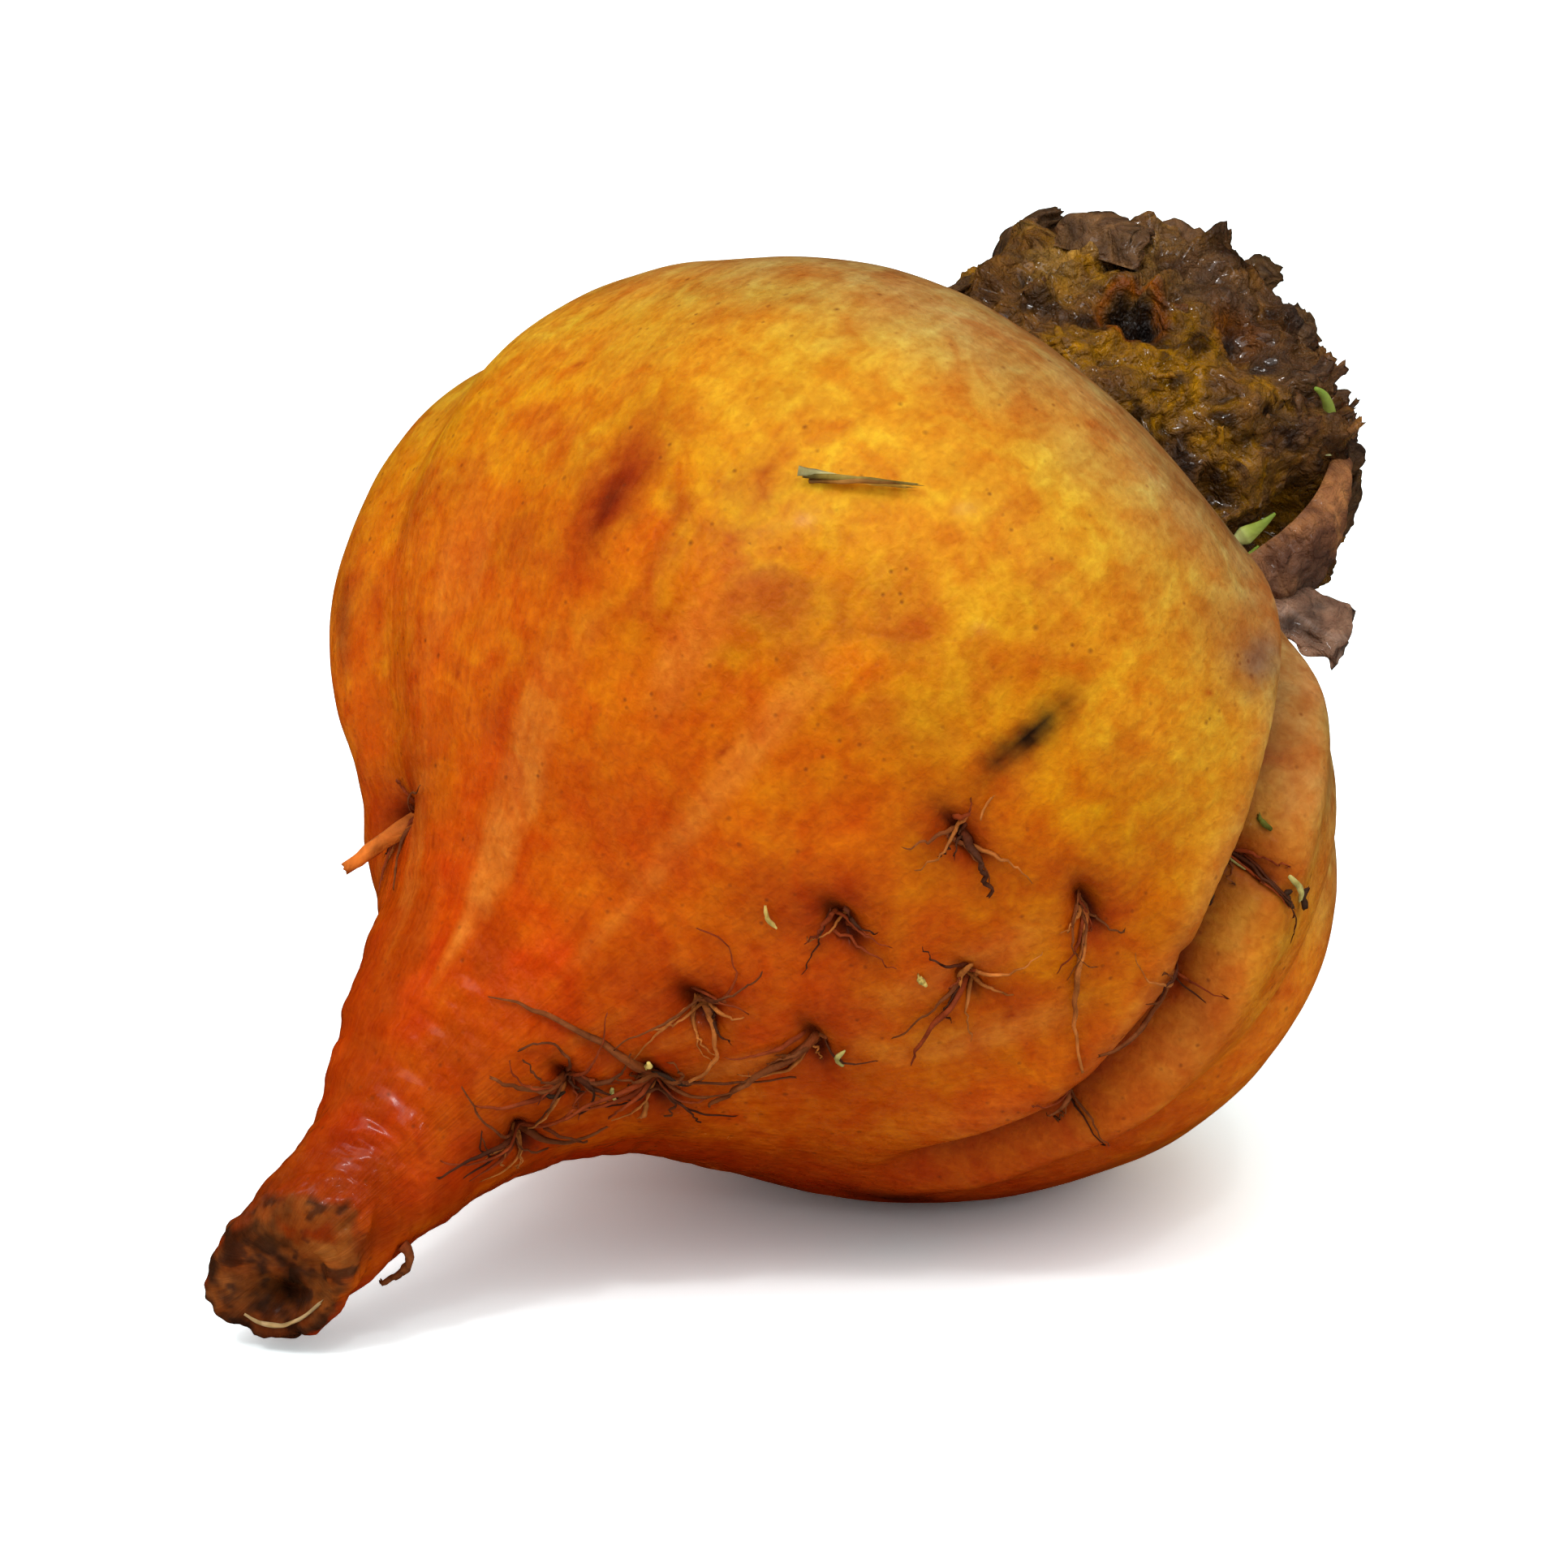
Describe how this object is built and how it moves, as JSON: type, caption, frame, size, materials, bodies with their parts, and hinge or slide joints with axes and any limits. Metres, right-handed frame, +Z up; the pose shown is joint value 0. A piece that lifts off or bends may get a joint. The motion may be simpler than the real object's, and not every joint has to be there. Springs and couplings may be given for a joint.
{
  "type": "golden beet",
  "caption": "Golden beet lying on its belly: a round lobed orange root with a cut tail, a brown decayed crown, old leaf stalk stubs and thin side roots.",
  "frame": {"origin": "middle of the small flat spot under the belly that the root rests on", "axes": "+X horizontally from the root tip towards the crown, +Y to the left of that, +Z up"},
  "size_m": [0.1139, 0.0828, 0.0799],
  "materials": {
    "root_skin": "satin beet skin, golden orange, red orange at the tail, brown at the crown",
    "dry_leaf": "papery dry leaf base, semi gloss where damp",
    "old_stalk": "damp decayed leaf stalk",
    "side_root": "dull fibrous rootlet",
    "green_shoot": "fresh shoot, satin",
    "straw": "dull straw"
  },
  "bodies": {
    "root": {"beet_root": "root_skin", "dry_leaf_base": "dry_leaf", "green_shoot_01": "green_shoot", "green_shoot_02": "green_shoot", "green_shoot_03": "green_shoot", "leaf_stalk_stub_01": "old_stalk", "leaf_stalk_stub_02": "old_stalk", "leaf_stalk_stub_03": "old_stalk", "leaf_stalk_stub_04": "old_stalk", "leaf_stalk_stub_05": "old_stalk", "leaf_stalk_stub_06": "old_stalk", "leaf_stalk_stub_07": "old_stalk", "leaf_stalk_stub_08": "old_stalk", "leaf_stalk_stub_09": "old_stalk", "leaf_stalk_stub_10": "old_stalk", "leaf_stalk_stub_11": "old_stalk", "leaf_stalk_stub_12": "old_stalk", "leaf_stalk_stub_13": "old_stalk", "leaf_stalk_stub_14": "old_stalk", "leaf_stalk_stub_15": "old_stalk", "leaf_stalk_stub_16": "old_stalk", "leaf_stalk_stub_17": "old_stalk", "leaf_stalk_stub_18": "old_stalk", "leaf_stalk_stub_19": "old_stalk", "leaf_stalk_stub_20": "old_stalk", "leaf_stalk_stub_21": "old_stalk", "leaf_stalk_stub_22": "old_stalk", "leaf_stalk_stub_23": "old_stalk", "side_root_01": "side_root", "side_root_02": "side_root", "side_root_03": "side_root", "side_root_04": "side_root", "side_root_05": "side_root", "side_root_06": "side_root", "side_root_07": "side_root", "side_root_08": "side_root", "side_root_09": "side_root", "side_root_10": "side_root", "side_root_11": "side_root", "side_root_12": "side_root", "side_root_13": "side_root", "straw_bit": "straw"}
  },
  "joints": []
}
